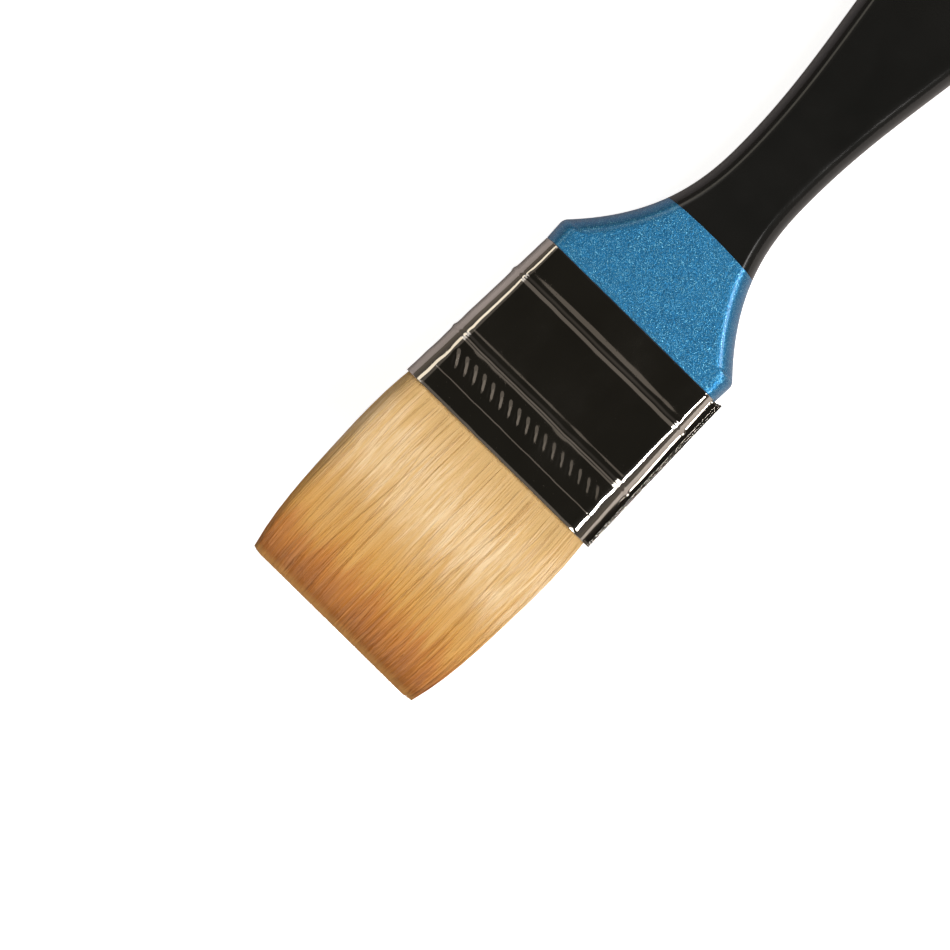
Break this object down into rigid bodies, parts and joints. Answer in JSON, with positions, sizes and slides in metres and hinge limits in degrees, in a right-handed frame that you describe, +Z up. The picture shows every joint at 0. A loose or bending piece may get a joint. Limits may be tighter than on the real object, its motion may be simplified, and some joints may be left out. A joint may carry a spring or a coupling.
{
  "type": "flat wash paint brush",
  "caption": "Flat wash paint brush with a soft straight-cut tuft, a beaded and knurled metal ferrule, and a lacquered wooden handle with a hanging hole.",
  "frame": {"origin": "on the resting plane, under the middle of the brush's length and width, with the brush lying flat", "axes": "+X towards the bristle tips, +Y across the width towards the ferrule's folded seam, +Z up through the thickness"},
  "size_m": [0.2, 0.0387, 0.0099],
  "materials": {
    "bare_wood": "matte",
    "black_lacquer": "gloss",
    "blue_lacquer": "gloss",
    "nickel_plate": "polished",
    "glue": "satin",
    "resin": "satin",
    "filaments": "satin"
  },
  "bodies": {
    "brush": {"wooden_handle": "bare_wood", "black_lacquer": "black_lacquer", "blue_lacquer": "blue_lacquer", "ferrule": "nickel_plate", "tenon_glue": "glue", "heel_resin": "resin", "tuft_root": "filaments"},
    "bristles": {"tuft": "filaments"}
  },
  "joints": [
    {"name": "tuft_bend", "type": "hinge", "parent": "brush", "child": "bristles", "pos_m": [0.0696, 0, 0.00496], "axis": [0, -1, 0], "range_deg": [-40, 40], "stiffness_Nm_per_rad": 0.04}
  ]
}
